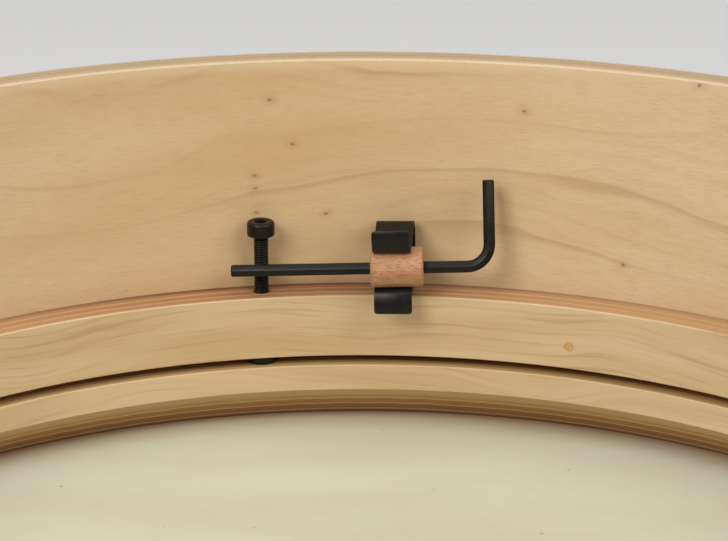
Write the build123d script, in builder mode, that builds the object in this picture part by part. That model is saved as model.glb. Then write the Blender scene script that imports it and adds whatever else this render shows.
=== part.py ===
"""Frame drum with an internal tuning ring, pushed by six screws, and a hex key kept in a clip.

+Z is up, from the head to the open rear. The origin is on the drum's axis, on the head's outer face.
Angles run from +Y towards +X, so "right" below is clockwise seen from above.
"""
import os
from math import cos, radians, sin

from build123d import *

os.makedirs("parts", exist_ok=True)

# shell
shell_radius = 178.0            # 14 inch shell
shell_wall = 8.0
rim_z = 98.0                    # open rear rim
front_z = 2.2                   # shell's edge under the head
front_outer_round = 5.0
front_inner_chamfer = 1.2
rim_chamfer = 0.4
bore_radius = shell_radius - shell_wall

# support ring, glued in the shell
ring_inner_radius = 160.0
support_low_z, support_high_z = 20.1, 37.0
ring_chamfer = 0.3

# tuning ring, slides in the shell
slide_gap = 0.3
tuning_top_z = 17.5
bevel_start_z = 10.6
edge_radius, edge_z = 168.8, 0.55   # the line that the head bears on
edge_land = 0.35

# head
skin = 0.5
lap_high_z = 26.0               # how far the skin is glued up the outside

# tuning screws, M4 x 35 socket head
screw_count = 6
first_screw_angle = -5.5
screw_circle = 165.5
thread_radius = 1.95
head_radius, head_height = 3.6, 3.8
head_round = 0.35
socket_across_flats, socket_depth = 3.05, 2.2
screw_length = 35.0
tip_chamfer = 0.6
screw_hole_radius = 2.15

# flanged insert nuts, driven in from below
insert_radius, insert_length = 3.0, 10.0
flange_radius, flange_thickness = 4.0, 2.2
insert_bore = 2.0

# thrust pads, let into the tuning ring
pad_radius, pad_thickness, pad_proud = 3.5, 1.2, 0.1
pad_top_z = tuning_top_z + pad_proud
tip_gap = 0.02

# pins that hold the support ring to the shell
pin_radius = 1.35
first_pin_angle = 23.2
pin_z = 26.3
pin_depth_in_shell = 4.0

# key station: clip, sleeve and key stand square to the wall at this angle
station_angle = 6.6
axis_distance = 157.5           # sleeve axis to drum axis
axis_z = 45.9
tilt = 2.2                      # all three rise a little to the right

# key clip, bent from spring strip
strip, strip_width = 0.7, 9.8
clip_turn = 3.0                                  # fixed by one screw, it sits a little askew
web_gap = 0.35                                   # the flat web on the round wall
web_offset = bore_radius - axis_distance - web_gap
grip_gap = 0.12
upper_slope, lower_slope = 19.0, 13.0            # the arms close towards the mouth
upper_back_bend, lower_back_bend = 2.6, 3.4      # the lower arm clears the support ring
mouth_bend, lip_bend = 2.0, 7.0
mouth_turn = 62.0                                # past level
upper_lip_turn, lower_lip_turn = 43.0, 40.0
clip_corner = 0.9
clip_screw_hole = 1.35

# clip screw
clip_screw_radius, clip_screw_depth = 1.25, 6.0
clip_head_radius, clip_head_height = 2.6, 1.7
clip_head_gap = 0.15

# sleeve, turned from a beech dowel
sleeve_radius, sleeve_length, sleeve_shift = 5.2, 13.7, 1.0
sleeve_round = 1.0
key_bore = 1.78

# hex key
across_flats = 3.0
key_left, key_right = 43.2, 23.9       # sleeve centre to the left end and to the short arm's axis
short_arm = 22.3                       # long arm's axis to the short arm's end
key_bend = 5.8
key_drop = 0.25                        # the bore is a little low in the sleeve
key_lean = 14.0                        # the short arm leans back towards the wall
key_chamfer = 0.25


def outward(angle):
    """Unit vector from the drum's axis to the wall."""
    return Vector(sin(radians(angle)), cos(radians(angle)), 0)


def rightward(angle):
    """Unit vector along the wall, to the right as seen from the drum's axis."""
    return Vector(cos(radians(angle)), -sin(radians(angle)), 0)


def tilted_right(angle):
    return rightward(angle) * cos(radians(tilt)) + Vector(0, 0, sin(radians(tilt)))


def on_circle(radius, angle, z):
    return outward(angle) * radius + Vector(0, 0, z)


def radial_plane(radius, angle, z):
    """A plane at a wall point whose normal runs out through the wall."""
    return Plane(origin=on_circle(radius, angle, z), x_dir=rightward(angle), z_dir=outward(angle))


def upright_plane(angle, z):
    """A level plane centred on a tuning screw's axis."""
    return Plane(origin=on_circle(screw_circle, angle, z), x_dir=rightward(angle), z_dir=(0, 0, 1))


def save(part, name):
    part.label = name
    export_step(part, f"parts/{name}.step")


step_angle = 360 / screw_count
screw_angles = [first_screw_angle + i * step_angle for i in range(screw_count)]
pin_angles = [first_pin_angle + i * step_angle for i in range(screw_count)]

# ---- shell: bent plywood, rounded over at the front where the head wraps it ----
with BuildPart() as shell:
    with BuildSketch(Plane.XZ):
        with Locations(((bore_radius + shell_radius) / 2, (front_z + rim_z) / 2)):
            Rectangle(shell_wall, rim_z - front_z)
    revolve(axis=Axis.Z)
    front_edges = shell.edges().group_by(Axis.Z)[0].sort_by(SortBy.RADIUS)
    chamfer(front_edges[0], front_inner_chamfer)
    front_outer = shell.edges().filter_by(GeomType.CIRCLE).group_by(Axis.Z)[0].sort_by(SortBy.RADIUS)[-1]
    fillet(front_outer, front_outer_round)
    chamfer(shell.edges().filter_by(GeomType.CIRCLE).group_by(Axis.Z)[-1], rim_chamfer)
    for angle in pin_angles:
        with BuildSketch(radial_plane(bore_radius - 1, angle, pin_z)):
            Circle(pin_radius)
        extrude(amount=pin_depth_in_shell + 1, mode=Mode.SUBTRACT)
    with BuildSketch(radial_plane(bore_radius - 1, station_angle, axis_z)):
        Circle(clip_screw_radius)
    extrude(amount=clip_screw_depth + 1, mode=Mode.SUBTRACT)
save(shell.part, "shell")

# ---- support ring: bent lamination with the screw holes ----
with BuildPart() as support_ring:
    with BuildSketch(Plane.XZ):
        with Locations(((ring_inner_radius + bore_radius) / 2, (support_low_z + support_high_z) / 2)):
            Rectangle(bore_radius - ring_inner_radius, support_high_z - support_low_z)
    revolve(axis=Axis.Z)
    inner_edges = support_ring.edges().filter_by(
        lambda e: e.geom_type == GeomType.CIRCLE and e.radius < ring_inner_radius + 1)
    chamfer(inner_edges, ring_chamfer)
    for angle in screw_angles:
        with BuildSketch(upright_plane(angle, support_low_z - 1)):
            Circle(screw_hole_radius)
        extrude(amount=support_high_z - support_low_z + 2, mode=Mode.SUBTRACT)
        with BuildSketch(upright_plane(angle, support_low_z)):
            Circle(insert_radius)
        extrude(amount=insert_length, mode=Mode.SUBTRACT)
    for angle in pin_angles:
        with BuildSketch(radial_plane(ring_inner_radius - 1, angle, pin_z)):
            Circle(pin_radius)
        extrude(amount=bore_radius - ring_inner_radius + 2, mode=Mode.SUBTRACT)
save(support_ring.part, "support_ring")

# ---- tuning ring: square outside, long bevel inside down to the bearing edge ----
tuning_outer = bore_radius - slide_gap
with BuildPart() as tuning_ring:
    with BuildSketch(Plane.XZ):
        with BuildLine():
            Polyline(
                (ring_inner_radius, tuning_top_z),
                (tuning_outer, tuning_top_z),
                (tuning_outer, edge_z + edge_land),
                (edge_radius + edge_land, edge_z),
                (edge_radius, edge_z),
                (ring_inner_radius, bevel_start_z),
                close=True,
            )
        make_face()
    revolve(axis=Axis.Z)
    top_inner = tuning_ring.edges().filter_by(GeomType.CIRCLE).group_by(Axis.Z)[-1].sort_by(SortBy.RADIUS)[0]
    chamfer(top_inner, ring_chamfer)
    for angle in screw_angles:
        with BuildSketch(upright_plane(angle, pad_top_z - pad_thickness)):
            Circle(pad_radius)
        extrude(amount=pad_thickness, mode=Mode.SUBTRACT)
save(tuning_ring.part, "tuning_ring")

# ---- head: one skin, flat over the bearing edge, up to the shell and glued up its outside ----
land = shell_radius - front_outer_round
with BuildPart() as drumhead:
    with BuildSketch(Plane.XZ):
        with BuildLine():
            inside = Polyline((0, skin), (edge_radius + 0.9, skin), (land - 0.7, front_z), (land, front_z))
            inside_turn = CenterArc((land, front_z + front_outer_round), front_outer_round, 270, 90)
            top = Polyline(
                (shell_radius, front_z + front_outer_round),
                (shell_radius, lap_high_z),
                (shell_radius + skin, lap_high_z),
                (shell_radius + skin, front_z + front_outer_round),
            )
            CenterArc((land, front_z + front_outer_round), front_outer_round + skin, 270, 90)
            Polyline((land, front_z - skin), (land - 0.55, front_z - skin), (edge_radius + 1.05, 0), (0, 0), (0, skin))
        make_face()
    revolve(axis=Axis.Z)
save(drumhead.part, "drumhead")

# ---- insert nuts and thrust pads, one of each under every screw ----
with BuildPart() as insert_nuts:
    for angle in screw_angles:
        with BuildSketch(upright_plane(angle, support_low_z)):
            Circle(insert_radius)
        extrude(amount=insert_length)
        with BuildSketch(upright_plane(angle, support_low_z - flange_thickness)):
            Circle(flange_radius)
        extrude(amount=flange_thickness)
        with BuildSketch(upright_plane(angle, support_low_z - flange_thickness)):
            Circle(insert_bore)
        extrude(amount=flange_thickness + insert_length, mode=Mode.SUBTRACT)
save(insert_nuts.part, "insert_nuts")

with BuildPart() as thrust_pads:
    for angle in screw_angles:
        with BuildSketch(upright_plane(angle, pad_top_z - pad_thickness)):
            Circle(pad_radius)
        extrude(amount=pad_thickness)
    chamfer(thrust_pads.edges().group_by(Axis.Z)[-1], pad_proud / 2)
save(thrust_pads.part, "thrust_pads")

# ---- ring pins ----
with BuildPart() as ring_pins:
    for angle in pin_angles:
        with BuildSketch(radial_plane(ring_inner_radius, angle, pin_z)):
            Circle(pin_radius)
        extrude(amount=bore_radius - ring_inner_radius + pin_depth_in_shell)
save(ring_pins.part, "ring_pins")

# ---- tuning screws ----
tip_z = pad_top_z + tip_gap
head_low_z = tip_z + screw_length
for number, angle in enumerate(screw_angles, 1):
    with BuildPart() as screw:
        with BuildSketch(upright_plane(angle, tip_z)):
            Circle(thread_radius)
        extrude(amount=screw_length)
        chamfer(screw.edges().group_by(Axis.Z)[0], tip_chamfer)
        with BuildSketch(upright_plane(angle, head_low_z)):
            Circle(head_radius)
        extrude(amount=head_height)
        fillet(screw.edges().group_by(Axis.Z)[-1], head_round)
        with BuildSketch(upright_plane(angle, head_low_z + head_height)):
            RegularPolygon(socket_across_flats / 2, 6, major_radius=False)
        extrude(amount=-socket_depth, mode=Mode.SUBTRACT)
    save(screw.part, f"tuning_screw_{number}")

# ---- key station: its own axes, inward from the wall, along the key and across it ----
inward = -outward(station_angle)
along = tilted_right(station_angle)
across = Vector(0, 0, cos(radians(tilt))) - rightward(station_angle) * sin(radians(tilt))
station = on_circle(axis_distance, station_angle, axis_z)

# ---- key clip: web on the wall, two arms that close on the sleeve, lips that flare at the mouth ----
clip_angle = station_angle + clip_turn
profile_plane = Plane(origin=station, x_dir=-outward(clip_angle), z_dir=-tilted_right(clip_angle))
grip = sleeve_radius + grip_gap + strip / 2                 # sleeve axis to the arm's middle line
web_x = -web_offset + strip / 2


def half_profile(side, slope, back_bend, lip_turn):
    """Middle line from the web to the tip, above the sleeve for side 1 and below it for side -1."""
    forward, down = cos(radians(slope)), sin(radians(slope))
    arm_start = (grip - web_x * down) / forward
    contact = (grip * down, side * grip * forward)
    FilletPolyline((web_x, 0), (web_x, side * arm_start), contact, radius=back_bend)
    mouth = JernArc(contact, (forward, -side * down), mouth_bend, side * (mouth_turn + slope))
    JernArc(mouth @ 1, mouth % 1, lip_bend, side * lip_turn)


with BuildPart() as key_clip:
    with BuildSketch(profile_plane):
        with BuildLine():
            half_profile(1, upper_slope, upper_back_bend, upper_lip_turn)
            half_profile(-1, lower_slope, lower_back_bend, lower_lip_turn)
        trace(line_width=strip)
    extrude(amount=strip_width / 2, both=True)
    with BuildSketch(radial_plane(bore_radius - 4, station_angle, axis_z)):
        Circle(clip_screw_hole)
    extrude(amount=5, mode=Mode.SUBTRACT)
    tips = key_clip.edges().filter_by(lambda e: abs(e.length - strip) < 0.01)
    fillet(tips, clip_corner)
save(key_clip.part, "key_clip")

# ---- clip screw ----
with BuildPart() as clip_screw:
    web_front = bore_radius - web_gap - strip - clip_head_gap
    with BuildSketch(radial_plane(web_front, station_angle, axis_z)):
        Circle(clip_screw_radius)
    extrude(amount=bore_radius - web_front + clip_screw_depth)
    with BuildSketch(radial_plane(web_front - clip_head_height, station_angle, axis_z)):
        Circle(clip_head_radius)
    extrude(amount=clip_head_height)
    head_face = clip_screw.faces().sort_by(Axis(station, outward(station_angle)))[0]
    fillet(head_face.edges(), 0.9)
save(clip_screw.part, "clip_screw")

# ---- sleeve, with the key's bore through it ----
sleeve_centre = station + along * sleeve_shift
key_middle = sleeve_centre - across * key_drop
with BuildPart() as key_sleeve:
    with BuildSketch(Plane(origin=sleeve_centre, x_dir=inward, z_dir=along)):
        Circle(sleeve_radius)
    extrude(amount=sleeve_length / 2, both=True)
    fillet(key_sleeve.edges().filter_by(GeomType.CIRCLE), sleeve_round)
    with BuildSketch(Plane(origin=key_middle, x_dir=inward, z_dir=along)):
        Circle(key_bore)
    extrude(amount=sleeve_length / 2, both=True, mode=Mode.SUBTRACT)
save(key_sleeve.part, "key_sleeve")

# ---- hex key: its flats lie across the bend, so a corner faces the drum's axis ----
rising = across * cos(radians(key_lean)) - inward * sin(radians(key_lean))
corner_way = inward * cos(radians(key_lean)) + across * sin(radians(key_lean))
left_end = key_middle - along * key_left
elbow = key_middle + along * key_right
with BuildPart() as hex_key:
    with BuildLine():
        FilletPolyline(left_end, elbow, elbow + rising * short_arm, radius=key_bend)
    with BuildSketch(Plane(origin=left_end, x_dir=corner_way, z_dir=along)):
        RegularPolygon(across_flats / 2, 6, major_radius=False)
    sweep()
    end_faces = [hex_key.faces().sort_by(Axis(left_end, along))[0], hex_key.faces().sort_by(Axis(elbow, rising))[-1]]
    chamfer([edge for face in end_faces for edge in face.edges()], key_chamfer)
save(hex_key.part, "hex_key")
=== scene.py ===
import bmesh
import bpy
import math
import random
from mathutils import Matrix, Vector


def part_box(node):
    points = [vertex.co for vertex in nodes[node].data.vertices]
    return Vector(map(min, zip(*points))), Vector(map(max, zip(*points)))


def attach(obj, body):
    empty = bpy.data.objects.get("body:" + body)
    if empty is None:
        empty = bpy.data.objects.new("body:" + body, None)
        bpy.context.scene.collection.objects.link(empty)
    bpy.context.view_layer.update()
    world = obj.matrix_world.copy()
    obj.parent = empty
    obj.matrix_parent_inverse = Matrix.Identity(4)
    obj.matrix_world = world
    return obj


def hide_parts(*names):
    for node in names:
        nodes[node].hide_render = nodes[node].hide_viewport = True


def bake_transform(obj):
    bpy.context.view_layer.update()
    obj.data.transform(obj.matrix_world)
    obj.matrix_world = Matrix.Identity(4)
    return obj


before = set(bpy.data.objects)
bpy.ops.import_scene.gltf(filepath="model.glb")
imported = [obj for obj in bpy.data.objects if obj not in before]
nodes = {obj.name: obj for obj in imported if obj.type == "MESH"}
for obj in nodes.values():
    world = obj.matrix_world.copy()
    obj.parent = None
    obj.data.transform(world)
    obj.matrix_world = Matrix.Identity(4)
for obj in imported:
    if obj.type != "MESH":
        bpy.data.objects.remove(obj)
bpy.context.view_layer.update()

mm = 0.001
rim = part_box("shell")[1][2]                           # height of the open rear rim
shellRadius = round(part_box("shell")[1][0], 5)         # outside of the shell
boreRadius = round(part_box("support_ring")[1][0], 5)   # inside of the shell, where the support ring is glued
boreMm, rimMm = boreRadius * 1000, rim * 1000         # shaders work in millimetres


# shader graph helpers

class Val:
    # a socket that takes part in arithmetic; numbers on either side become socket values
    def __init__(self, graph, socket):
        self.graph, self.socket = graph, socket

    def math(self, operation, *others):
        return self.graph.make("ShaderNodeMath", {"operation": operation}, dict(enumerate((self, *others))))

    def after(self, operation, first):
        return self.graph.make("ShaderNodeMath", {"operation": operation}, {0: first, 1: self})

    def __add__(self, other):
        return self.math("ADD", other)

    def __radd__(self, other):
        return self.math("ADD", other)

    def __sub__(self, other):
        return self.math("SUBTRACT", other)

    def __rsub__(self, other):
        return self.after("SUBTRACT", other)

    def __mul__(self, other):
        return self.math("MULTIPLY", other)

    def __rmul__(self, other):
        return self.math("MULTIPLY", other)

    def __truediv__(self, other):
        return self.math("DIVIDE", other)

    def __rtruediv__(self, other):
        return self.after("DIVIDE", other)

    def __pow__(self, other):
        return self.math("POWER", other)

    def __rpow__(self, other):
        return self.after("POWER", other)

    def ramp(self, low, high, fromValue=0.0, toValue=1.0):
        # a smooth step, which runs downwards where low is above high
        settings = {"interpolation_type": "SMOOTHSTEP"}
        values = {0: self, 1: low, 2: high, 3: fromValue, 4: toValue}
        return self.graph.make("ShaderNodeMapRange", settings, values)


class Graph:
    def __init__(self, name):
        self.material = bpy.data.materials.new(name)
        self.material.use_nodes = True
        self.tree = self.material.node_tree
        self.shader = self.tree.nodes["Principled BSDF"]

    def make(self, kind, settings, values, output=0):
        # output names one socket, or is a list for several
        node = self.tree.nodes.new(kind)
        for key, value in settings.items():
            setattr(node, key, value)
        for key, value in values.items():
            self.put(node.inputs[key], value)
        if isinstance(output, list):
            return [Val(self, node.outputs[key]) for key in output]
        return Val(self, node.outputs[output])

    def put(self, socket, value):
        if isinstance(value, Val):
            self.tree.links.new(value.socket, socket)
        elif isinstance(value, tuple) and len(value) == 3 and socket.type == "RGBA":
            socket.default_value = (*value, 1)
        else:
            socket.default_value = value

    def mix(self, factor, first, second):
        settings = {"data_type": "RGBA", "clamp_factor": True}
        return self.make("ShaderNodeMix", settings, {0: factor, 6: first, 7: second}, 2)

    def layers(self, across, wood):
        # one ply after another across a lamination, each (where it starts, its colour's name, soft edge)
        colour = wood[wood["inner"]]
        for start, name, soft in wood["plies"]:
            colour = self.mix(across.ramp(start, start + soft), colour, wood[name])
        return colour

    def noise(self, place, detail, roughness):
        values = {"Vector": place, "Scale": 1.0, "Detail": detail, "Roughness": roughness}
        return self.make("ShaderNodeTexNoise", {"noise_dimensions": "3D"}, values)

    def vector(self, x, y, z):
        return self.make("ShaderNodeCombineXYZ", {}, {0: x, 1: y, 2: z})

    def place(self):
        return self.make("ShaderNodeTexCoord", {}, {}, "Object")

    def scaledPlace(self, x, y, z):
        return self.make("ShaderNodeVectorMath", {"operation": "MULTIPLY"}, {0: self.place(), 1: (x, y, z)})

    def millimetres(self):
        axes = self.make("ShaderNodeSeparateXYZ", {}, {0: self.place()}, ["X", "Y", "Z"])
        return [axis * 1000.0 for axis in axes]

    def unrolled(self):
        # run along the bend, distance from the drum's axis, and height
        x, y, z = self.millimetres()
        return x.math("ARCTAN2", y) * boreMm, (x * x + y * y) ** 0.5, z

    def bump(self, height, distance, strength):
        return self.make("ShaderNodeBump", {}, {"Height": height, "Distance": distance, "Strength": strength})

    def finish(self, **values):
        for key, value in values.items():
            self.put(self.shader.inputs[key.replace("_", " ")], value)
        return self.material


def srgb(r, g, b):
    # display values, 0 to 255, to the linear ones that shaders use
    return tuple((c / 255 / 12.92) if c <= 10 else ((c / 255 + 0.055) / 1.055) ** 2.4 for c in (r, g, b))


def paint(name, material):
    for slot in nodes[name].material_slots:
        slot.material = material


# camera, floor and light

# metres and degrees, but the lens in millimetres; height is above the rim, orbit about the drum's axis
view = dict(lens=116.2, distance=0.4155, height=0.15295, pitch=19.782, yaw=-1.26, roll=-0.2, orbit=4.28,
            shift=0.0604)


def addCamera():
    yaw, pitch, roll, orbit = (math.radians(view[k]) for k in ("yaw", "pitch", "roll", "orbit"))
    ahead = Vector((math.sin(yaw) * math.cos(pitch), math.cos(yaw) * math.cos(pitch), -math.sin(pitch)))
    right = Vector((math.cos(yaw), -math.sin(yaw), 0))
    down = ahead.cross(right)
    turnedRight = right * math.cos(roll) - down * math.sin(roll)
    turnedDown = right * math.sin(roll) + down * math.cos(roll)
    data = bpy.data.cameras.new("camera")
    data.lens, data.sensor_width, data.shift_x = view["lens"], 36, view["shift"]
    camera = bpy.data.objects.new("camera", data)
    turn = Matrix((turnedRight, -turnedDown, -ahead)).transposed().to_4x4()
    place = Matrix.Translation((0, -view["distance"], rim + view["height"])) @ turn
    camera.matrix_world = Matrix.Rotation(-orbit, 4, "Z") @ place
    bpy.context.scene.collection.objects.link(camera)
    bpy.context.scene.camera = camera


floor = dict(half=6, colour=srgb(200, 199, 197), roughness=0.7)


def addFloor():
    half = floor["half"]
    corners = [(-half, -half, 0), (half, -half, 0), (half, half, 0), (-half, half, 0)]
    mesh = bpy.data.meshes.new("floor")
    mesh.from_pydata(corners, [], [(0, 1, 2, 3)])
    finish = Graph("pale floor").finish(Base_Color=floor["colour"], Roughness=floor["roughness"])
    mesh.materials.append(finish)
    ground = bpy.data.objects.new("floor", mesh)
    bpy.context.scene.collection.objects.link(ground)


lights = {
    # name: (position, aimed at, width, height, watts)
    "key": ((-0.9, -1.0, 1.15), (0, 0.12, 0.04), 0.8, 0.8, 21),
    "fill": ((1.1, -0.9, 1.1), (0, 0.1, 0.03), 1.0, 1.0, 14),
    "top": ((0.1, 0.2, 1.8), (0, 0, 0.03), 1.8, 1.8, 12),
}
world = dict(colour=(1.0, 1.0, 1.0), strength=0.5)


def addLights():
    for name, (position, target, width, height, power) in lights.items():
        data = bpy.data.lights.new(name, "AREA")
        data.shape, data.size, data.size_y, data.energy = "RECTANGLE", width, height, power
        lamp = bpy.data.objects.new(name, data)
        lamp.location = position
        lamp.rotation_euler = (Vector(target) - Vector(position)).to_track_quat("-Z", "Y").to_euler()
        bpy.context.scene.collection.objects.link(lamp)
    studio = bpy.data.worlds.new("studio")
    studio.use_nodes = True
    sky = studio.node_tree.nodes["Background"]
    sky.inputs["Color"].default_value = (*world["colour"], 1)
    sky.inputs["Strength"].default_value = world["strength"]
    bpy.context.scene.world = studio
    bpy.context.scene.view_settings.view_transform = "Standard"


# shell: plain maple veneer with soft figure, pin knots and plies on the rim

maple = dict(pale=srgb(209, 184, 146), warm=srgb(192, 159, 115), figure=srgb(162, 124, 80),
             fibre=srgb(172, 138, 95), knot=srgb(140, 92, 50), edge=srgb(208, 184, 148),
             bandHeight=15.0, figureDepth=0.42, outside=173.0, rough=(0.42, 0.58))
knots = [
    # angle from +y in degrees, height and size in millimetres
    (-5.8, 67.4, 0.55), (-5.8, 63.9, 0.5), (-5.7, 57.3, 0.35), (0.5, 56.3, 0.5), (17.8, 85.5, 0.6),
    (33.0, 97.0, 0.6), (-2.45, 75.5, 0.55), (-4.4, 87.6, 0.6), (27.0, 47.0, 0.6), (71.0, 66.0, 0.6),
    (102.0, 81.0, 0.5), (140.0, 60.0, 0.6), (171.0, 74.0, 0.5), (-48.0, 70.0, 0.6), (-83.0, 58.0, 0.5),
    (-118.0, 84.0, 0.6), (-150.0, 66.0, 0.5),
]
# from the bore outwards: the light colour on the inner 0.8 mm of the rim is a painted highlight on its
# rounded inner edge; the light ply at 6.55 mm is a real pale ply
rimPlies = dict(pale=srgb(176, 147, 108), brown=srgb(166, 135, 97), line=srgb(134, 102, 70),
                light=srgb(194, 172, 138), inner="light",
                plies=[(0.8, "pale", 0.9), (3.2, "brown", 0.5), (4.6, "pale", 0.4), (6.1, "line", 0.25),
                       (6.55, "light", 0.2), (7.2, "line", 0.3)])
warmSide = dict(waves=4.0, lead=20)                   # times round the drum, and degrees before +y


def warmth(run):
    # 0 to 1, warmest a little to the left of the key clip and paler away from it
    turn = run * (warmSide["waves"] / boreMm) + math.radians(warmSide["lead"])
    return turn.math("COSINE") * 0.5 + 0.5


def growthFigure(graph, run, height, outside):
    # contour lines of a slow field look like the rings of a rotary-cut veneer; outside moves to other wood
    slow = graph.noise(graph.vector(run * 0.0065, height * 0.016 + outside, 3.4), 2, 0.4)
    wander = graph.noise(graph.vector(run * 0.022, height * 0.08 + outside, 11.0), 2, 0.5)
    field = height / maple["bandHeight"] + slow * 4.2 + wander * 0.4
    growth = field.math("FRACT")
    line = growth.ramp(0.6, 1.0) * 0.2 + growth.ramp(0.86, 0.975) * 0.8
    line = line * growth.ramp(1.0, 0.975)
    fine = (field * 3.0 + wander * 1.5).math("FRACT")
    fineLine = fine.ramp(0.5, 0.96) * fine.ramp(1.0, 0.96)
    presence = graph.noise(graph.vector(run * 0.008, height * 0.035 + outside, 27.0), 2, 0.5).ramp(0.4, 0.62)
    return line * (presence * 0.75 + 0.25) * maple["figureDepth"], fineLine * presence * 0.12


def knotMarks(graph, run, height):
    # ragged dots, each with a faint halo, a little wider than tall
    ragged = (graph.noise(graph.vector(run * 1.6, height * 1.6, 2.0), 2, 0.6) - 0.5) * 1.1
    mark = 0.0
    for angle, tall, size in knots:
        along = (run - math.radians(angle) * boreMm) * 0.7
        away = (along * along + (height - tall) ** 2.0) ** 0.5 + ragged
        mark = mark + away.ramp(size * 1.15, size * 0.1) * 0.75 + away.ramp(size * 4.0, size) * 0.16
    return mark


def rimWood(graph, run, radius):
    waver = (graph.noise(graph.vector(run * 0.05, radius * 0.5, 1.0), 2, 0.5) - 0.5) * 0.35
    endGrain = graph.noise(graph.vector(run * 1.4, radius * 0.8, 4.0), 3, 0.6)
    colour = graph.layers(radius - boreMm + waver, rimPlies)
    return graph.mix(endGrain.ramp(0.45, 0.75) * 0.35, colour, rimPlies["line"])


def mapleWood():
    graph = Graph("maple veneer")
    run, radius, height = graph.unrolled()
    outside = radius.ramp(maple["outside"], maple["outside"] + 2.0) * 40.0
    line, fineLine = growthFigure(graph, run, height, outside)
    broad = graph.noise(graph.vector(run * 0.014, height * 0.06 + outside, 5.0), 4, 0.55)
    fibre = graph.noise(graph.vector(run * 0.2, height * 3.8 + outside, 7.0), 3, 0.62)
    ticks = graph.noise(graph.vector(run * 0.7, height * 6.0 + outside, 17.0), 2, 0.5)
    mottle = graph.noise(graph.vector(run * 0.09, height * 0.5 + outside, 37.0), 3, 0.55)
    colour = graph.mix(broad.ramp(0.3, 0.72) * 0.4 + warmth(run) * 0.6, maple["pale"], maple["warm"])
    colour = graph.mix(mottle.ramp(0.45, 0.75) * 0.22, colour, maple["warm"])
    colour = graph.mix(line, colour, maple["figure"])
    colour = graph.mix(fineLine, colour, maple["figure"])
    colour = graph.mix(fibre.ramp(0.46, 0.72) * 0.42, colour, maple["fibre"])
    colour = graph.mix(ticks.ramp(0.56, 0.72) * 0.28, colour, maple["fibre"])
    colour = graph.mix(height.ramp(rimMm - 3.6, rimMm - 0.6) * 0.6, colour, maple["edge"])
    inside = 1.0 - radius.ramp(maple["outside"], maple["outside"] + 1.0)
    colour = graph.mix(knotMarks(graph, run, height) * inside, colour, maple["knot"])
    onRim = height.ramp(rimMm - 0.35, rimMm - 0.2)
    colour = graph.mix(onRim, colour, rimWood(graph, run, radius))
    rough = fibre.ramp(0.3, 0.8, *maple["rough"])
    return graph.finish(Base_Color=colour, Roughness=rough, Normal=graph.bump(fibre, 0.00006, 0.5))


# rings: open-grained lamination, its plies show on the top and on the bevel

ringWood = dict(pale=srgb(203, 178, 140), warm=srgb(186, 155, 112), streak=srgb(164, 130, 88),
                pore=srgb(130, 96, 60), rosy=srgb(204, 170, 136), innerRadius=160.0, roughness=0.5)
# the dark entry at 8 mm darkens the outermost 2 mm of the top against the shell wall: partly the dark glue
# joint, partly painted shade in the corner
topPlies = dict(tan=srgb(164, 122, 84), brown=srgb(156, 112, 76), thin=srgb(183, 142, 101),
                dark=srgb(110, 64, 40), red=srgb(150, 104, 68), pale=srgb(200, 164, 116), inner="tan",
                plies=[(1.1, "brown", 0.5), (2.5, "thin", 0.25), (3.3, "red", 0.3), (4.6, "brown", 0.4),
                       (5.7, "thin", 0.3), (6.4, "red", 0.4), (8.0, "dark", 0.6)])
bevelPlies = dict(olive=srgb(188, 155, 104), oliveDark=srgb(170, 134, 82), pale=srgb(196, 158, 106),
                  orange=srgb(160, 114, 66), brown=srgb(146, 102, 62), dark=srgb(112, 74, 44), inner="olive",
                  plies=[(1.6, "oliveDark", 1.2), (2.9, "pale", 0.2), (3.4, "orange", 0.35),
                         (5.1, "pale", 0.2), (5.45, "brown", 0.3), (7.3, "pale", 0.2), (7.65, "brown", 0.3),
                         (8.3, "dark", 0.3)])


def ringFace(graph, run, height, seed, pinkness):
    # veneer on the inner face: streaks that wander along the bend, with short pores
    tilt = graph.noise(graph.vector(run * 0.010, 2.0 + seed, 0.0), 2, 0.4) * 34.0
    level = height + tilt
    broad = graph.noise(graph.vector(run * 0.012, level * 0.11, seed), 3, 0.5)
    streaks = graph.noise(graph.vector(run * 0.022, level * 0.75, seed + 4.0), 3, 0.6)
    fine = graph.noise(graph.vector(run * 0.05, level * 2.6, seed + 9.0), 3, 0.6)
    pores = graph.noise(graph.vector(run * 0.24, level * 5.0, seed + 13.0), 2, 0.5)
    clumps = graph.noise(graph.vector(run * 0.02, level * 0.3, seed + 21.0), 2, 0.5).ramp(0.45, 0.62)
    tone = broad.ramp(0.34, 0.66) * 0.55 + warmth(run) * 0.45
    colour = graph.mix(tone, ringWood["pale"], ringWood["warm"])
    colour = graph.mix(streaks.ramp(0.5, 0.72) * (0.62 - pinkness * 0.3), colour, ringWood["streak"])
    colour = graph.mix(fine.ramp(0.52, 0.78) * 0.32, colour, ringWood["streak"])
    colour = graph.mix(pores.ramp(0.66, 0.76) * (clumps * 0.5 + 0.12), colour, ringWood["pore"])
    rosy = graph.noise(graph.vector(run * 0.02, level * 0.2, seed + 31.0), 2, 0.5).ramp(0.4, 0.7)
    colour = graph.mix(rosy * pinkness * 0.5, colour, ringWood["rosy"])
    return colour, fine


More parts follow.
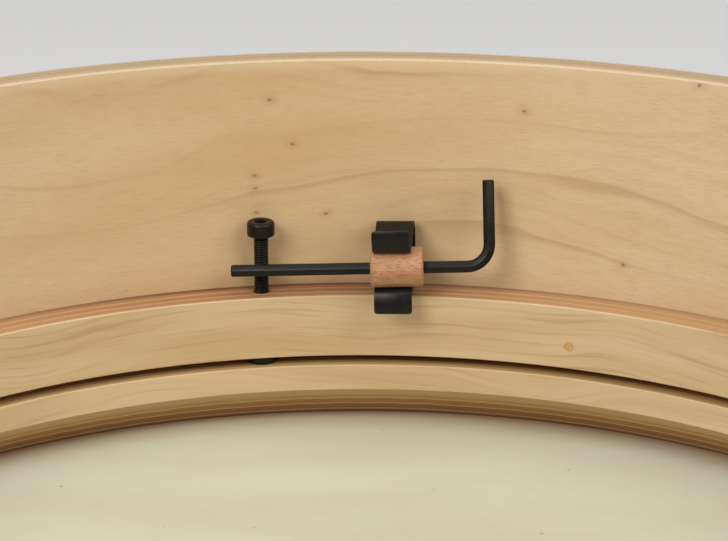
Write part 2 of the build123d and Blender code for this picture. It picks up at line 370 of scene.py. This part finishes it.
def supportWood():
    graph = Graph("support ring lamination")
    run, radius, height = graph.unrolled()
    face, fine = ringFace(graph, run, height, 3.0, 0.1)
    wobble = (graph.noise(graph.vector(run * 0.03, radius * 0.2, 8.0), 2, 0.5) - 0.5) * 0.9
    grain = graph.noise(graph.vector(run * 0.05, radius * 3.0, 5.0), 3, 0.6)
    plies = graph.layers(radius - ringWood["innerRadius"] + wobble, topPlies)
    plies = graph.mix(grain.ramp(0.45, 0.75) * 0.35, plies, topPlies["dark"])
    plies = graph.mix((1.0 - warmth(run)) * 0.5, plies, topPlies["pale"])
    onTop = radius.ramp(ringWood["innerRadius"] + 0.25, ringWood["innerRadius"] + 0.4)
    colour = graph.mix(onTop, face, plies)
    bump = graph.bump(fine, 0.00007, 0.6)
    return graph.finish(Base_Color=colour, Roughness=ringWood["roughness"], Normal=bump)


def tuningWood():
    graph = Graph("tuning ring lamination")
    run, radius, height = graph.unrolled()
    face, fine = ringFace(graph, run, height, 41.0, 0.9)
    wobble = (graph.noise(graph.vector(run * 0.025, 6.0, 8.0), 2, 0.5) - 0.5) * 0.7
    grain = graph.noise(graph.vector(run * 0.05, radius * 2.4, 6.0), 3, 0.6)
    plies = graph.layers(radius - ringWood["innerRadius"] + wobble, bevelPlies)
    plies = graph.mix(grain.ramp(0.5, 0.8) * 0.3, plies, bevelPlies["dark"])
    onBevel = radius.ramp(ringWood["innerRadius"] + 0.05, ringWood["innerRadius"] + 0.2)
    colour = graph.mix(onBevel, face, plies)
    bump = graph.bump(fine, 0.00007, 0.6)
    return graph.finish(Base_Color=colour, Roughness=ringWood["roughness"], Normal=bump)


pin = dict(pale=srgb(194, 152, 98), warm=srgb(178, 134, 80))


def pinWood():
    graph = Graph("pin end grain")
    run, radius, height = graph.unrolled()
    rings = graph.noise(graph.vector(run * 1.1, height * 1.1, radius * 0.2), 3, 0.6)
    colour = graph.mix(rings.ramp(0.4, 0.65), pin["pale"], pin["warm"])
    return graph.finish(Base_Color=colour, Roughness=0.55, Normal=graph.bump(rings, 0.00005, 0.5))


# sleeve, steel and skin

beech = dict(pale=srgb(182, 138, 100), warm=srgb(170, 121, 84), fleck=srgb(118, 70, 44), stationAngle=6.6)


def beechWood():
    graph = Graph("beech dowel")
    turn = math.radians(beech["stationAngle"])
    x, y, z = graph.millimetres()
    along = x * math.cos(turn) - y * math.sin(turn)
    deep = x * math.sin(turn) + y * math.cos(turn)
    broad = graph.noise(graph.vector(along * 0.08, deep * 0.3, z * 0.35), 3, 0.5)
    fibre = graph.noise(graph.vector(along * 0.5, deep * 3.5, z * 3.5), 3, 0.6)
    flecks = graph.noise(graph.vector(along * 0.9, deep * 4.5, z * 4.5), 2, 0.5)
    colour = graph.mix(broad.ramp(0.35, 0.65), beech["pale"], beech["warm"])
    colour = graph.mix(fibre.ramp(0.46, 0.7) * 0.5, colour, beech["fleck"])
    colour = graph.mix(flecks.ramp(0.54, 0.66) * 0.6, colour, beech["fleck"])
    return graph.finish(Base_Color=colour, Roughness=0.62, Normal=graph.bump(fibre + flecks, 0.0001, 0.6))


oxide = dict(dark=srgb(17, 16, 13), pale=srgb(25, 22, 18), speck=srgb(38, 34, 28))


def blackSteel(name, roughLow, roughHigh, metal):
    graph = Graph(name)
    grain = graph.noise(graph.scaledPlace(2600, 2600, 2600), 3, 0.6)
    patches = graph.noise(graph.scaledPlace(260, 260, 260), 3, 0.55)
    colour = graph.mix(patches.ramp(0.35, 0.65), oxide["dark"], oxide["pale"])
    colour = graph.mix(grain.ramp(0.55, 0.8) * 0.5, colour, oxide["speck"])
    rough = (grain * 0.5 + patches * 0.5).ramp(0.35, 0.65, roughLow, roughHigh)
    return graph.finish(Base_Color=colour, Roughness=rough, Metallic=metal, Specular_IOR_Level=0.32,
                        Normal=graph.bump(grain, 0.00003, 0.5))


# the two brown colours after hair are painted shade for the band beside the tuning ring
skin = dict(pale=srgb(194, 194, 174), warm=srgb(184, 180, 156), vein=srgb(168, 161, 133),
            hair=srgb(120, 104, 78), ringShade=srgb(150, 120, 72), ringEdgeShade=srgb(96, 70, 42),
            thick=0.0005, edge=0.1688, land=0.173, front=0.0022, turn=0.005, lapTop=0.026, steps=256,
            trimFrom=0.016, trimOver=0.010)


def skinHead():
    graph = Graph("drum skin")
    cloud = graph.noise(graph.scaledPlace(5, 17, 5), 4, 0.5)
    streaks = graph.noise(graph.scaledPlace(9, 46, 9), 3, 0.55)
    speckle = graph.noise(graph.scaledPlace(150, 150, 150), 3, 0.6)
    hair = graph.noise(graph.scaledPlace(420, 420, 420), 1, 0.4)
    colour = graph.mix(cloud.ramp(0.36, 0.66), skin["pale"], skin["warm"])
    colour = graph.mix(streaks.ramp(0.5, 0.75) * 0.35, colour, skin["pale"])
    colour = graph.mix(speckle.ramp(0.5, 0.8) * 0.12, colour, skin["vein"])
    colour = graph.mix(hair.ramp(0.8, 0.83) * 0.5, colour, skin["hair"])
    # painted shade: the upper side is darkened beside the tuning ring, in a broad band and a narrower darker
    # one, where the ring shades the skin
    radius, height = graph.unrolled()[1:]
    upper = height.ramp(0.2, 0.4)
    colour = graph.mix(radius.ramp(150.0, 170.0) ** 2.0 * upper * 0.55, colour, skin["ringShade"])
    colour = graph.mix(radius.ramp(164.0, 169.0) * upper * 0.6, colour, skin["ringEdgeShade"])
    bump = graph.bump(cloud * 0.7 + speckle * 0.3, 0.00012, 0.35)
    return graph.finish(Base_Color=colour, Roughness=0.42, Specular_IOR_Level=0.4, Normal=bump)


steel = blackSteel("black oxide steel", 0.32, 0.5, 0.35)
clipSteel = blackSteel("blackened spring steel", 0.26, 0.52, 0.3)


# head: the skin runs flat over the tuning ring, up to the shell, round its edge and up the outside

def newPiece(name, build, material):
    shape = bmesh.new()
    build(shape)
    bmesh.ops.recalc_face_normals(shape, faces=shape.faces[:])
    mesh = bpy.data.meshes.new(name)
    shape.to_mesh(mesh)
    shape.free()
    for face in mesh.polygons:
        face.use_smooth = True
    mesh.materials.append(material)
    piece = bpy.data.objects.new(name, mesh)
    bpy.context.scene.collection.objects.link(piece)
    return piece


def skinSection():
    # (radius, height) pairs, from the middle of the upper side round to the middle of the lower side
    t, edge, land, front, turn, lap = (skin[k] for k in ("thick", "edge", "land", "front", "turn", "lapTop"))
    rings = [0.01, 0.03, 0.06, 0.09, 0.12, 0.14, 0.155, 0.164]
    quarter = [math.radians(-90 + 90 * i / 6) for i in range(7)]
    heights = [0.011, 0.016, 0.021, lap - 0.0002]

    # upper side: flat, a short slope up to the shell, round its edge and up to the trimmed lap
    outline = [(r, t) for r in rings]
    outline += [(edge + 0.0009, t), (land - 0.0016, front - 0.0006), (land - 0.0007, front)]
    outline += [(land + turn * math.cos(a), front + turn + turn * math.sin(a)) for a in quarter]
    outline += [(shellRadius, z) for z in heights]
    outline += [(shellRadius + t * 0.3, lap), (shellRadius + t * 0.8, lap - 0.0002)]

    # lower side: the same way back, one thickness further out
    outer = turn + t
    outline += [(shellRadius + t, z) for z in heights[-2::-1]]
    outline += [(land + outer * math.cos(a), front + turn + outer * math.sin(a)) for a in quarter[::-1]]
    outline += [(land - 0.0007, front - t), (land - 0.0016, front - t - 0.0006), (edge + 0.00105, 0.0)]
    return outline + [(r, 0.0) for r in rings[::-1]]


def buildSkin(shape):
    section, steps = skinSection(), skin["steps"]
    random.seed(4)                                    # the lap is trimmed by hand, so its edge wanders
    waves = [(random.uniform(0, 6.3), k, random.uniform(0.1, 0.3) * mm) for k in (2, 5, 9, 17)]
    columns = []
    for i in range(steps):
        a = 2 * math.pi * i / steps
        trim = sum(size * math.sin(k * a + phase) for phase, k, size in waves)
        column = []
        for r, z in section:
            cut = min(trim * max(0.0, (z - skin["trimFrom"]) / skin["trimOver"]), 0.0)
            column.append(shape.verts.new((r * math.sin(a), r * math.cos(a), z + cut)))
        columns.append(column)
    for i in range(steps):
        here, there = columns[i], columns[(i + 1) % steps]
        for j in range(len(section) - 1):
            shape.faces.new((here[j], there[j], there[j + 1], here[j + 1]))
    for j, z in ((0, skin["thick"]), (-1, 0.0)):
        centre = shape.verts.new((0, 0, z))
        for i in range(steps):
            shape.faces.new((columns[i][j], columns[(i + 1) % steps][j], centre))


head = newPiece("skin_head", buildSkin, skinHead())
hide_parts("drumhead")
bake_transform(head)
flatRadius = shellRadius + skin["thick"] + skin["lapTop"]
2 * flatRadius
2 * flatRadius
math.pi * flatRadius ** 2
print("skin done")


# tuning screws: cap head with a hex socket and a cut thread

cap = dict(count=6, circle=0.1655, firstAngle=-5.5, tip=0.01762, length=0.035, radius=0.0036, height=0.0038,
           socket=0.001525, socketDepth=0.0022, major=0.00195, minor=0.00154, pitch=0.0007, columns=20,
           rowsPerTurn=6, sides=36, sharp=38)


def joinRings(shape, grid):
    for low, high in zip(grid, grid[1:]):
        for i in range(len(low)):
            k = (i + 1) % len(low)
            shape.faces.new((low[i], low[k], high[k], high[i]))


def buildThread(shape, centre):
    rows = int(cap["length"] / cap["pitch"] * cap["rowsPerTurn"])
    grid = []
    for row in range(rows + 1):
        z = cap["tip"] + cap["length"] * row / rows
        ring = []
        for column in range(cap["columns"]):
            a = 2 * math.pi * column / cap["columns"]
            phase = (row / cap["rowsPerTurn"] - column / cap["columns"]) % 1.0
            crest = min(1.0, 1.25 * (1 - abs(2 * phase - 1)))
            r = cap["minor"] + (cap["major"] - cap["minor"]) * crest
            r = min(r, cap["minor"] * 0.75 + (z - cap["tip"]))       # chamfered start
            ring.append(shape.verts.new((centre[0] + r * math.cos(a), centre[1] + r * math.sin(a), z)))
        grid.append(ring)
    joinRings(shape, grid)
    shape.faces.new(grid[0][::-1])
    shape.faces.new(grid[-1])


def hexRadius(angle, flat):
    # distance to a hexagon's side, from the distance to the middle of its flats
    return flat / math.cos((angle + math.pi / 6) % (math.pi / 3) - math.pi / 6)


def buildCap(shape, centre, turn):
    # (radius, height, whether hexagonal), up the outside, over the rounded edge and down the socket
    low = cap["tip"] + cap["length"]
    top = low + cap["height"]
    r, socket = cap["radius"], cap["socket"]
    outline = [(r * 0.55, low, 0), (r - 0.0003, low, 0),
               (r - 0.00005, low + 0.00012, 0), (r, low + 0.0004, 0),
               (r, top - 0.0009, 0), (r - 0.00004, top - 0.0006, 0), (r - 0.00022, top - 0.00022, 0),
               (r - 0.00055, top - 0.00004, 0), (r - 0.00085, top, 0), (socket + 0.0003, top, 1),
               (socket + 0.00008, top - 0.00008, 1), (socket, top - 0.0003, 1),
               (socket, top - cap["socketDepth"], 1)]
    grid = []
    for radius, z, isHex in outline:
        ring = []
        for i in range(cap["sides"]):
            a = 2 * math.pi * i / cap["sides"]
            reach = hexRadius(a, radius) if isHex else radius
            x, y = reach * math.cos(a + turn), reach * math.sin(a + turn)
            ring.append(shape.verts.new((centre[0] + x, centre[1] + y, z)))
        grid.append(ring)
    joinRings(shape, grid)
    shape.faces.new(grid[0][::-1])
    bottom = shape.verts.new((centre[0], centre[1], top - cap["socketDepth"] - 0.0006))
    for i in range(cap["sides"]):
        shape.faces.new((grid[-1][i], grid[-1][(i + 1) % cap["sides"]], bottom))


def addScrews():
    for number in range(1, cap["count"] + 1):
        angle = math.radians(cap["firstAngle"] + 360 / cap["count"] * (number - 1))
        centre = (cap["circle"] * math.sin(angle), cap["circle"] * math.cos(angle))

        def build(shape):
            buildThread(shape, centre)
            buildCap(shape, centre, 0.35 + number * 0.7)     # each socket has stopped at its own angle

        piece = newPiece(f"cap_screw_{number}", build, steel)
        piece.data.set_sharp_from_angle(angle=math.radians(cap["sharp"]))
        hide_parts(f"tuning_screw_{number}")
        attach(piece, f"tuning_screw_{number}")


addScrews()
print("screws done")


# key and clip: the same shapes with their edges eased

easing = dict(merge=0.000002, flat=0.6, bevel=28, segments=2, shade=35)      # metres and degrees


def addEased(name, source, body, width, material):
    piece = bpy.data.objects.new(name, nodes[source].data.copy())
    bpy.context.scene.collection.objects.link(piece)
    shape = bmesh.new()
    shape.from_mesh(piece.data)
    bmesh.ops.remove_doubles(shape, verts=shape.verts[:], dist=easing["merge"])
    bmesh.ops.dissolve_limit(shape, angle_limit=math.radians(easing["flat"]), verts=shape.verts[:],
                             edges=shape.edges[:])
    least = math.radians(easing["bevel"])
    sharp = [edge for edge in shape.edges if len(edge.link_faces) == 2 and edge.calc_face_angle() > least]
    bmesh.ops.bevel(shape, geom=sharp, offset=width, segments=easing["segments"], profile=0.5, affect="EDGES",
                    clamp_overlap=True)
    bmesh.ops.recalc_face_normals(shape, faces=shape.faces[:])
    shape.to_mesh(piece.data)
    shape.free()
    piece.data.materials.clear()
    piece.data.materials.append(material)
    for face in piece.data.polygons:
        face.use_smooth = True
    piece.data.set_sharp_from_angle(angle=math.radians(easing["shade"]))
    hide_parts(source)
    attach(piece, body)


addEased("long_hex_key", "hex_key", "hex_key", 0.00022, steel)
addEased("spring_clip", "key_clip", "drum", 0.00014, clipSteel)
print("key and clip done")


# the other pieces keep their shapes and get their finishes

paint("shell", mapleWood())
paint("support_ring", supportWood())
paint("tuning_ring", tuningWood())
paint("key_sleeve", beechWood())
paint("ring_pins", pinWood())
for name in ("insert_nuts", "thrust_pads", "clip_screw"):
    paint(name, steel)
print("materials done")

addCamera()
addFloor()
addLights()
print("camera and light done")
